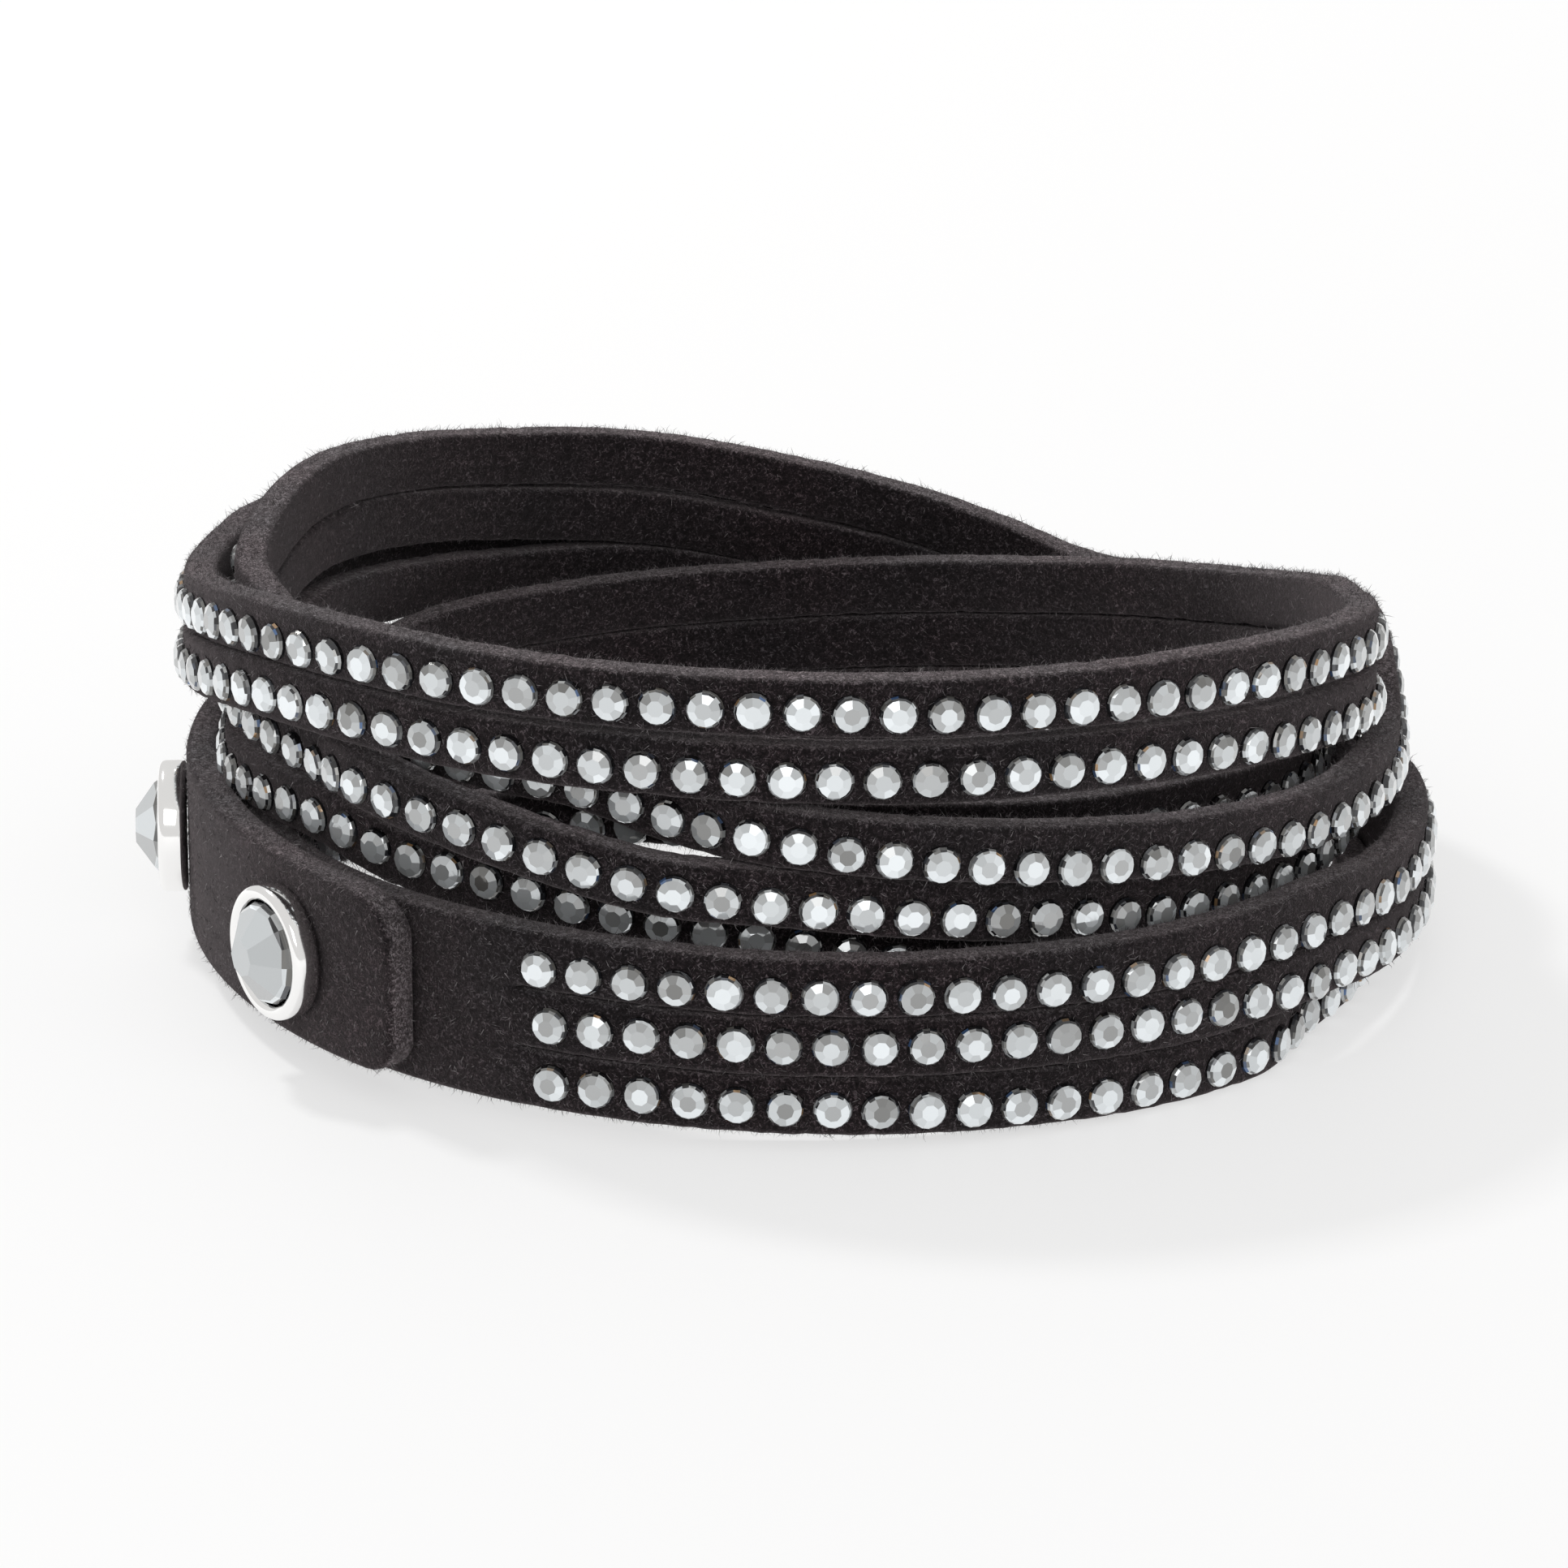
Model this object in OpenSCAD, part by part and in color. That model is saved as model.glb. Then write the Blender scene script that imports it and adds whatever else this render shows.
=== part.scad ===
// Wrap bracelet: one long flat strap goes three times round the wrist.
// Two slits split it into three strips, which cross over each other, and a pair
// of round snaps with large stones holds the overlapped ends at the left.
// +Z is up, the front faces -Y, and the bracelet stands on its lower edge.
// Angles run anticlockwise seen from above, and go on past 360 with each turn.

/* [Strap] */
// Thickness of the padded strap.
strap_t = 1.8; // [1.2:0.1:2.4]
// Distance between the middles of neighbouring strips where they lie side by side.
strip_pitch = 3.2; // [2.8:0.1:3.6]
// Width of the slit between two strips.
slit_w = 0.1; // [0.05:0.05:0.4]
// Corner radius at the upper corners of both ends.
upper_corner_r = 2.8; // [1:0.1:3]
// Corner radius at the lower corners of both ends.
lower_corner_r = 1.9; // [1:0.1:3]

/* [Way round the wrist] */
// Half length of the oval on which the strap lies.
oval_half_l = 31.6; // [28:0.1:36]
// Half width of the oval.
oval_half_w = 30.3; // [27:0.1:35]
// Turn of the oval's long axis about +Z.
oval_turn = -10; // [-45:1:45]
// Place of the oval's middle, so that the whole bracelet is centred on +Z.
oval_x = 0.24; // [-2:0.01:2]
// The same from front to back.
oval_y = -0.85; // [-2:0.01:2]
// Angle where the strap begins, under the snaps.
inner_end_a = -195; // [-220:5:-160]
// Angle where the two slits begin.
slit_begin_a = -115; // [-130:5:-100]
// Angle where the two slits end.
slit_finish_a = 880; // [860:5:900]
// Angle where the strap's free flap ends.
outer_end_a = 954.5; // [930:0.5:970]
// Angle from one cross-section to the next: it divides 360, so that the turns match.
section_step = 5; // [3, 4, 5, 6]

/* [Snaps] */
// Angle of the snap near the free end.
front_snap_a = 940; // [930:1:945]
// Angle of the snap further round the side.
side_snap_a = 903; // [895:1:910]
// Diameter of the metal cap.
cap_d = 7.1; // [5:0.1:9]
// Height of the metal cap.
cap_h = 1.5; // [1:0.1:2.5]
// Width of the cap's rounded rim.
rim_w = 0.8; // [0.4:0.1:1.5]
// Thickness of the cap's floor.
cap_floor = 0.4; // [0.3:0.1:0.8]
// Diameter of the stone's flat top.
table_d = 2.6; // [1:0.1:4]
// Height of the stone above the cap's rim.
stone_rise = 1.3; // [0.5:0.1:2]
// Diameter of the hidden post that goes through both layers.
post_d = 2.6; // [2:0.1:3]
// Diameter of the post's flange at the inside.
flange_d = 5.6; // [4:0.1:7]
// Thickness of the flange.
flange_t = 0.45; // [0.3:0.05:1]
// Clearance round the post in its hole.
hole_clear = 0.15; // [0.05:0.05:0.3]
// Clearance between the flange and the strap, whose inner layer lies a little slanted.
flange_clear = 0.4; // [0.2:0.05:0.8]
// Gap that keeps neighbouring pieces apart.
gap = 0.05; // [0.02:0.01:0.2]

/* [Hidden] */
strip_w = strip_pitch - slit_w;
stone_d = cap_d - 2 * rim_w - 2 * gap;
upper_steps = 4;
small = 0.5;
MIDDLE = 1;
COLOR_STRAP = [0.20, 0.18, 0.18];
COLOR_METAL = [0.74, 0.74, 0.75];
COLOR_STONE = [0.86, 0.90, 0.94];

// Columns of the table: the angle, then for the upper, middle and lower strip the
// height of its middle line and how far that lies outside the oval.
// A row stands where a strip begins to climb, drop, cross over or lie down.
STATIONS = [
  [-195,  8.5, -2.6,  5.3, -2.6,  2.1, -2.6],
  [-165,  8.5, -2.4,  5.3, -2.4,  2.1, -2.4],
  [-140,  8.9, -0.6,  5.7, -0.6,  2.5, -0.6],
  [-116,  9.2,  1.0,  6.0,  1.0,  2.8,  1.0],
  [ -90,  8.7,  1.3,  5.5,  1.3,  2.3,  1.1],
  [ -66,  8.3,  1.4,  5.1,  1.4,  1.9,  1.2],
  [ -58,  8.1,  1.4,  4.9,  1.4,  1.7,  1.2],
  [ -48,  8.0,  1.5,  4.8,  1.5,  1.6,  1.2],
  [ -42,  8.0,  1.6,  4.8,  1.6,  1.6,  1.2],
  [ -36,  8.0,  1.7,  4.8,  1.7,  1.6,  0.2],
  [ -32,  7.9,  1.8,  4.7,  1.8,  1.6, -0.4],
  [ -25,  7.4,  1.9,  4.2,  1.9,  1.6, -0.4],
  [ -15,  7.0,  2.0,  3.8,  2.0,  1.6, -0.4],
  [   5,  6.6,  2.0,  3.4,  2.0,  1.6, -0.4],
  [  20,  6.1,  1.6,  2.9,  1.6,  1.6, -0.4],
  [  32,  6.2,  1.2,  3.0,  1.2,  1.6, -0.8],
  [  40,  7.6,  1.1,  4.4,  1.1,  1.6, -1.0],
  [  45,  8.7,  1.0,  5.5,  1.0,  1.9, -0.4],
  [  50,  9.6,  0.9,  6.4,  0.9,  3.0,  0.6],
  [  60, 11.4,  0.9,  8.2,  0.9,  5.0,  0.9],
  [  75, 13.6,  0.8, 10.4,  0.8,  7.2,  0.8],
  [  90, 15.5,  0.4, 12.1,  0.4,  8.9,  0.4],
  [ 105, 17.2,  0.2, 13.8,  0.2, 10.6,  0.2],
  [ 120, 18.3,  0.0, 15.0,  0.0, 11.2,  0.0],
  [ 135, 19.5, -0.8, 16.3, -0.8, 12.1, -0.8],
  [ 150, 20.3, -2.0, 17.1, -1.8, 12.9, -1.9],
  [ 165, 20.0, -2.9, 16.8, -2.8, 12.7, -2.9],
  [ 180, 19.2, -3.2, 16.0, -3.0, 12.1, -2.9],
  [ 186, 19.1, -3.8, 15.8, -2.5, 11.9, -2.6],
  [ 192, 18.8, -4.3, 15.8, -2.3, 11.8, -2.2],
  [ 205, 18.3, -4.4, 15.9, -2.4, 12.3, -2.1],
  [ 215, 18.1, -4.3, 15.8, -2.3, 12.3, -2.4],
  [ 225, 17.9, -3.4, 15.8, -1.0, 11.5, -2.6],
  [ 240, 17.7, -2.9, 14.8, -0.5, 11.1, -2.6],
  [ 248, 17.6, -2.7, 14.2, -0.2, 10.6, -2.7],
  [ 258, 16.5, -2.3, 13.3,  0.0, 10.1, -2.7],
  [ 270, 16.1,  0.0, 12.9,  0.0,  9.5, -2.7],
  [ 300, 14.1,  0.2, 10.6, -0.9,  7.2, -2.8],
  [ 315, 13.1,  0.3,  9.7, -1.4,  6.2, -2.8],
  [ 330, 12.2,  0.4,  9.3, -1.5,  5.2, -2.8],
  [ 345, 11.8,  0.4,  9.3, -1.5,  3.7, -2.7],
  [ 352, 11.4,  0.4,  9.2, -1.6,  3.0, -2.7],
  [ 358, 11.2,  0.5,  9.2, -1.6,  2.4, -2.6],
  [ 363, 11.7,  0.7,  9.2, -1.5,  2.0, -2.5],
  [ 368, 12.4,  1.0,  9.3, -1.2,  1.8, -2.5],
  [ 373, 13.0,  1.5,  9.5,  0.3,  1.7, -2.5],
  [ 378, 13.1,  2.2,  9.8,  1.5,  1.6, -2.5],
  [ 386, 13.0,  3.0,  9.8,  2.6,  1.6, -2.6],
  [ 392, 12.4,  3.5,  9.2,  3.4,  1.6, -2.7],
  [ 400, 11.3,  3.6,  8.1,  3.5,  1.6, -2.9],
  [ 412, 10.0,  3.3,  6.8,  3.3,  1.6, -3.2],
  [ 425, 10.8,  3.2,  7.6,  3.2,  1.6, -4.1],
  [ 450, 13.1,  3.0,  9.9,  3.0,  1.6, -4.3],
  [ 480, 15.9,  2.6, 12.7,  2.6,  1.6, -5.1],
  [ 495, 16.6,  2.2, 13.4,  2.2,  1.6, -5.2],
  [ 510, 17.4,  1.4, 14.2,  1.4,  1.8, -5.2],
  [ 525, 17.9,  0.1, 14.7,  0.1,  3.0, -5.2],
  [ 540, 18.9, -0.5, 15.7, -0.4,  5.2, -5.3],
  [ 555, 20.6, -0.6, 17.4, -0.4,  7.6, -5.3],
  [ 570, 22.1, -0.5, 18.9, -0.4, 10.0, -5.2],
  [ 585, 22.8, -0.4, 19.5, -0.4, 12.3, -5.1],
  [ 600, 23.0, -0.3, 19.6, -0.3, 14.2, -4.9],
  [ 615, 23.0, -0.3, 19.6, -0.3, 15.4, -4.6],
  [ 630, 22.9, -0.3, 19.4, -0.3, 15.6, -3.0],
  [ 645, 22.6, -0.3, 19.1, -0.3, 15.2, -2.8],
  [ 660, 22.2, -0.3, 18.8, -0.3, 14.5, -2.9],
  [ 675, 21.6, -0.3, 18.1, -0.3, 13.8, -3.3],
  [ 690, 20.6, -0.3, 17.1, -0.3, 12.9, -3.4],
  [ 705, 19.2, -0.5, 15.8, -0.5, 12.2, -3.5],
  [ 714, 18.2, -1.0, 14.9, -1.0, 11.9, -3.5],
  [ 720, 17.5, -1.4, 14.2, -1.4, 11.8, -3.5],
  [ 728, 16.8, -1.6, 13.6, -1.6, 11.4, -3.6],
  [ 740, 15.1, -1.6, 11.9, -1.6, 10.0, -3.6],
  [ 750, 13.9, -1.6, 10.7, -1.6,  8.0, -3.6],
  [ 757, 13.2, -1.8, 10.0, -1.8,  6.6, -3.6],
  [ 768, 12.3, -2.0,  9.1, -2.0,  5.9, -2.1],
  [ 784, 11.1, -2.1,  7.9, -2.1,  4.7, -2.1],
  [ 810,  9.9, -2.2,  6.7, -2.2,  3.5, -2.2],
  [ 830,  9.7, -2.6,  6.5, -2.6,  3.3, -2.6],
  [ 840,  9.7, -2.9,  6.5, -2.9,  3.3, -2.9],
  [ 850,  9.8, -3.1,  6.6, -3.1,  3.4, -3.1],
  [ 855,  9.7, -3.1,  6.5, -3.1,  3.3, -3.1],
  [ 862,  9.5, -3.3,  6.3, -3.3,  3.1, -3.3],
  [ 868,  9.5, -2.7,  6.3, -2.7,  3.1, -2.7],
  [ 874,  9.5, -1.7,  6.3, -1.7,  3.1, -1.7],
  [ 880,  9.5, -1.0,  6.3, -1.0,  3.1, -1.0],
  [ 885,  9.5, -0.6,  6.3, -0.6,  3.1, -0.6],
  [ 900,  9.5, -0.5,  6.3, -0.5,  3.1, -0.5],
  [ 920,  9.6,  0.0,  6.4,  0.0,  3.2,  0.0],
  [ 935,  9.8,  1.0,  6.6,  1.0,  3.4,  1.0],
  [ 956,  9.9,  2.8,  6.7,  2.8,  3.5,  2.8],
];
LAST = len(STATIONS) - 1;

// The table's row at or before angle a, found by halving.
function row_at(a, low, high) =
  high - low <= 1
    ? low
    : let (half = floor((low + high) / 2))
      STATIONS[half][0] > a ? row_at(a, low, half) : row_at(a, half, high);

// Slope of column c at row i, from the rows on both sides.
function slope(i, c) =
  let (
    before = STATIONS[max(i - 1, 0)],
    after = STATIONS[min(i + 1, LAST)]
  )
  (after[c] - before[c]) / (after[0] - before[0]);

// Column c at angle a, as a smooth curve through the rows.
function smooth(c, a) =
  let (
    i = row_at(a, 0, LAST),
    span = STATIONS[i + 1][0] - STATIONS[i][0],
    u = (a - STATIONS[i][0]) / span
  )
  (2 * u ^ 3 - 3 * u ^ 2 + 1) * STATIONS[i][c]
    + (u ^ 3 - 2 * u ^ 2 + u) * span * slope(i, c)
    + (3 * u ^ 2 - 2 * u ^ 3) * STATIONS[i + 1][c]
    + (u ^ 3 - u ^ 2) * span * slope(i + 1, c);

// Distance of the oval from its middle at angle a.
function oval_r(a) =
  1 / sqrt((cos(a - oval_turn) / oval_half_l) ^ 2 + (sin(a - oval_turn) / oval_half_w) ^ 2);

// Middle of strip k at angle a: 0 is the upper strip, 1 the middle and 2 the lower one.
// A strip that reaches the ground lies on it.
function centre(k, a) =
  let (r = oval_r(a) + smooth(2 + 2 * k, a))
  [oval_x + r * cos(a), oval_y + r * sin(a), max(smooth(1 + 2 * k, a) - slit_w / 2, strip_w / 2)];

// Level direction away from the wrist, at right angles to strip k.
function outward(k, a) =
  let (
    way = centre(k, a + small) - centre(k, a - small),
    level = norm([way[0], way[1]])
  )
  [way[1] / level, -way[0] / level, 0];

// Direction across strip k, towards its upper edge.
function across(k, a) =
  let (
    way = centre(k, a + small) - centre(k, a - small),
    side = cross(outward(k, a), way)
  )
  side / norm(side);

// Point of strip k at angle a: face is 1 outside and -1 inside, edge is 1 at the top and -1 below.
// A climbing strip is a little narrower, because its neighbour climbs just above it.
function strip_point(k, a, face, edge) =
  let (side = across(k, a))
  centre(k, a) + outward(k, a) * face * strap_t / 2 + side * side[2] * edge * strip_w / 2;

// Four corners of strip k: outside top, outside bottom, inside bottom, inside top.
function strip_corners(k, a) = [
  strip_point(k, a, 1, 1),
  strip_point(k, a, 1, -1),
  strip_point(k, a, -1, -1),
  strip_point(k, a, -1, 1),
];

// Line j of an uncut stretch on one face, from the top edge 0 to the bottom edge 3.
function end_line(a, face, j, upper_in, lower_in) =
  j == 0
    ? strip_point(0, a, face, 1) - across(0, a) * upper_in
    : j == 3
      ? strip_point(2, a, face, -1) + across(2, a) * lower_in
      : (strip_point(j - 1, a, face, -1) + strip_point(j, a, face, 1)) / 2;

// Eight points round an uncut stretch: down the outside, then up the inside.
function end_ring(s) = [
  for (j = [0:3]) end_line(s[0], 1, j, s[1], s[2]),
  for (j = [3:-1:0]) end_line(s[0], -1, j, s[1], s[2]),
];

// Rings near a rounded end: angle, then how far the upper and lower corners are cut in.
// side is 1 at the outer end and -1 at the inner end.
function corner_rings(end_a, side) = [
  for (i = [0:upper_steps])
    let (
      turn = 90 * i / upper_steps,
      back = upper_corner_r * (1 - sin(turn)) * 180 / (PI * oval_half_l)
    )
    [
      end_a - side * back,
      upper_corner_r * (1 - cos(turn)),
      lower_corner_r * (1 - cos(turn)),
    ],
];

function reversed(list) = [for (i = [len(list) - 1:-1:0]) list[i]];

inner_sections = concat(
  reversed(corner_rings(inner_end_a, -1)),
  [for (a = [inner_end_a + 2 * section_step:section_step:slit_begin_a]) [a, 0, 0]]
);
outer_sections = concat(
  [for (a = [slit_finish_a:section_step:outer_end_a - 2 * section_step]) [a, 0, 0]],
  corner_rings(outer_end_a, 1)
);
slit_angles = [for (a = [slit_begin_a + section_step:section_step:slit_finish_a - section_step]) a];

inner_n = len(inner_sections);
outer_n = len(outer_sections);
slit_n = len(slit_angles);
outer_first = 8 * inner_n + 12 * slit_n;

// Number of corner c of strip k at section i, where 0 is the slits' beginning and
// slit_n + 1 their end. There the strips share the rings of the uncut ends.
function shared_corner(k, c) = c == 0 ? k : c == 1 ? k + 1 : c == 2 ? 6 - k : 7 - k;
function strip_index(k, i, c) =
  i == 0
    ? 8 * (inner_n - 1) + shared_corner(k, c)
    : i == slit_n + 1
      ? outer_first + shared_corner(k, c)
      : 8 * inner_n + 12 * (i - 1) + 4 * k + c;

// Two triangles between neighbouring sections.
function patch(a, b, c, d) = [[a, b, c], [a, c, d]];

function ring_faces(first, rings) = [
  for (i = [0:rings - 2], j = [0:7])
    let (
      here = first + 8 * i,
      next = (j + 1) % 8
    )
    each patch(here + j, here + 8 + j, here + 8 + next, here + next),
];

// Triangles that close a rounded end, between lines j and j + 1 of both faces.
function lid_faces(first, flip) = [
  for (j = [0:2])
    each flip
      ? patch(first + j, first + 7 - j, first + 6 - j, first + j + 1)
      : patch(first + j, first + j + 1, first + 6 - j, first + 7 - j),
];

function strip_faces(k) = [
  for (i = [0:slit_n], c = [0:3])
    let (next = (c + 1) % 4)
    each patch(
      strip_index(k, i, c),
      strip_index(k, i + 1, c),
      strip_index(k, i + 1, next),
      strip_index(k, i, next)
    ),
];

// The uncut ends and the three strips between them, as one closed skin.
module strap_body() {
  polyhedron(
    points = concat(
      [for (s = inner_sections) each end_ring(s)],
      [for (a = slit_angles, k = [0:2]) each strip_corners(k, a)],
      [for (s = outer_sections) each end_ring(s)]
    ),
    faces = concat(
      lid_faces(0, false),
      ring_faces(0, inner_n),
      strip_faces(0),
      strip_faces(1),
      strip_faces(2),
      ring_faces(outer_first, outer_n),
      lid_faces(outer_first + 8 * (outer_n - 1), true)
    ),
    convexity = 12
  );
}

// Moves a snap's piece onto the strap's outer face at angle a, with its axis outwards.
module on_strap(a) {
  face = centre(MIDDLE, a) + outward(MIDDLE, a) * strap_t / 2;
  way = outward(MIDDLE, a);
  translate(face)
    rotate([0, 90, atan2(way[1], way[0])])
      children();
}

// Depth from the flap's outer face to the inner face of the layer below it.
function layers_t(a) =
  let (
    outer_p = centre(MIDDLE, a),
    inner_p = centre(MIDDLE, a - 3 * 360)
  )
  norm([outer_p[0] - inner_p[0], outer_p[1] - inner_p[1]]) + strap_t;

module strap() {
  color(COLOR_STRAP)
    difference() {
      strap_body();
      for (a = [front_snap_a, side_snap_a])
        on_strap(a)
          translate([0, 0, -layers_t(a) - 0.5])
            cylinder(h = layers_t(a) + 1, d = post_d + 2 * hole_clear, $fn = 32);
    }
}

// Metal cup with a rounded rim. Its floor lies on the flap.
module snap_cap(a) {
  color(COLOR_METAL)
    on_strap(a)
      translate([0, 0, gap])
        rotate_extrude($fn = 64)
          union() {
            square([cap_d / 2 - rim_w / 2, cap_floor]);
            translate([cap_d / 2 - rim_w, 0])
              square([rim_w, cap_h - rim_w / 2]);
            translate([cap_d / 2 - rim_w / 2, cap_h - rim_w / 2])
              circle(d = rim_w, $fn = 32);
          }
}

// Large round stone with a flat top, held in the cup.
module stone(a) {
  seat = cap_floor + 2 * gap;
  color(COLOR_STONE)
    on_strap(a)
      translate([0, 0, seat]) {
        cylinder(h = cap_h - seat, d = stone_d, $fn = 64);
        translate([0, 0, cap_h - seat])
          cylinder(h = stone_rise, d1 = stone_d, d2 = table_d, $fn = 64);
      }
}

// Hidden post of a snap: it goes through both layers and ends in a flange.
module snap_post(a) {
  reach = layers_t(a) + flange_clear;
  color(COLOR_METAL)
    on_strap(a)
      translate([0, 0, -reach]) {
        cylinder(h = reach, d = post_d, $fn = 32);
        translate([0, 0, -flange_t])
          cylinder(h = flange_t, d = flange_d, $fn = 48);
      }
}

module snap_cap_front() {
  snap_cap(front_snap_a);
}

module snap_cap_side() {
  snap_cap(side_snap_a);
}

module stone_front() {
  stone(front_snap_a);
}

module stone_side() {
  stone(side_snap_a);
}

module snap_post_front() {
  snap_post(front_snap_a);
}

module snap_post_side() {
  snap_post(side_snap_a);
}

strap();
snap_cap_front();
snap_cap_side();
stone_front();
stone_side();
snap_post_front();
snap_post_side();
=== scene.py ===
import math

import bmesh
import bpy
import numpy as np
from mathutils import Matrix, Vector


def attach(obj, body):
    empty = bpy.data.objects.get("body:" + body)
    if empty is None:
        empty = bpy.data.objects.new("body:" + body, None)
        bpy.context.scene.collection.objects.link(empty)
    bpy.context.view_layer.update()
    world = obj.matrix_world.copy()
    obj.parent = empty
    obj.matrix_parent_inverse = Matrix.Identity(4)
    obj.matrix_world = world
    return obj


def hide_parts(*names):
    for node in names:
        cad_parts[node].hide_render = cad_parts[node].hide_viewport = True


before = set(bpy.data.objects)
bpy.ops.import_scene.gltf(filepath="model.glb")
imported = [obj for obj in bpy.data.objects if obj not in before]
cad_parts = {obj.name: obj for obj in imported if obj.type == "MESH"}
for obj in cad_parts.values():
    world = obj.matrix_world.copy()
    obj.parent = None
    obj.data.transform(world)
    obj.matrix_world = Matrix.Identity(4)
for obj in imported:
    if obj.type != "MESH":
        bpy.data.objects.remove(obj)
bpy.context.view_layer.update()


# ---- View and light ----
# The bracelet stands on a white light table, which glows a little, so that shadows stay pale.
# The camera looks at it from the front and a little from above. A small lamp at the back left
# gives the shadow its edge, and a soft one lights the front.
MM = 0.001
middle_of_oval = Vector((0.24, -0.85, 0.0)) * MM
look_down = math.radians(19.5)
camera_distance = 420 * MM
aim_height = 8 * MM
picture_px = 1932
focal_px = 9624
sensor_mm = 36

camera_data = bpy.data.cameras.new("camera")
camera_data.sensor_width = sensor_mm
camera_data.angle = 2 * math.atan(picture_px / 2 / focal_px)
camera_data.clip_start = 0.01
camera = bpy.data.objects.new("camera", camera_data)
bpy.context.collection.objects.link(camera)
camera.location = middle_of_oval + Vector((
    0,
    -camera_distance * math.cos(look_down),
    aim_height + camera_distance * math.sin(look_down),
))
camera.rotation_euler = (math.radians(90) - look_down, 0, 0)
bpy.context.scene.camera = camera

world = bpy.data.worlds.new("studio")
bpy.context.scene.world = world
world.use_nodes = True
world.node_tree.nodes["Background"].inputs["Color"].default_value = (1.0, 0.993, 0.985, 1)
world.node_tree.nodes["Background"].inputs["Strength"].default_value = 0.72
bpy.context.scene.view_settings.view_transform = "Standard"


def square_lamp(name, place, aim, size, watts):
    """A square lamp at a place in metres, turned to the point that it lights."""
    data = bpy.data.lights.new(name, "AREA")
    data.shape = "SQUARE"
    data.size = size
    data.energy = watts
    lamp = bpy.data.objects.new(name, data)
    lamp.location = place
    lamp.rotation_euler = (Vector(aim) - Vector(place)).to_track_quat("-Z", "Y").to_euler()
    bpy.context.collection.objects.link(lamp)


square_lamp("key_lamp", (-0.42, 0.46, 0.75), (0, 0, 0), 0.12, 4.2)
square_lamp("front_lamp", (-0.1, -0.75, 0.5), (0, 0, 0.01), 0.4, 1.0)

table_paint = bpy.data.materials.new("white_table")
table_paint.use_nodes = True
table_shader = table_paint.node_tree.nodes["Principled BSDF"]
table_shader.inputs["Base Color"].default_value = (0.30, 0.30, 0.30, 1)
table_shader.inputs["Emission Color"].default_value = (1, 1, 1, 1)
table_shader.inputs["Emission Strength"].default_value = 0.625
table_shader.inputs["Roughness"].default_value = 0.6
table_shader.inputs["Specular IOR Level"].default_value = 0.15

table_mesh = bpy.data.meshes.new("table")
table_half = 3.0
table_mesh.from_pydata(
    [(-table_half, -table_half, 0), (table_half, -table_half, 0),
     (table_half, table_half, 0), (-table_half, table_half, 0)],
    [], [(0, 1, 2, 3)])
table_mesh.materials.append(table_paint)
table = bpy.data.objects.new("table", table_mesh)
bpy.context.collection.objects.link(table)


# ---- Strap ----
# One long strap of charcoal microfibre suede, doubled and padded, 9.5 mm wide and 1.8 mm thick.
# Two slits split it into three strips. It goes three times round the wrist, and the strips
# cross over each other. The ends stay uncut and the flap's corners are rounded.
strap_t = 1.8
strip_pitch = 3.2
slit_w = 0.1
strip_w = strip_pitch - slit_w
edge_r = 0.34
arc_steps = 3
strips = 3
strip_points = 4 * (arc_steps + 1)
ring_points = strips * strip_points
edge_wander_mm = 0.035
upper_corner_r = 2.8
lower_corner_r = 1.9
oval_half_l = 31.6
oval_half_w = 30.3
oval_turn = -10
inner_end_a = -195
slit_begin_a = -115
slit_finish_a = 880
outer_end_a = 954.5

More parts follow.
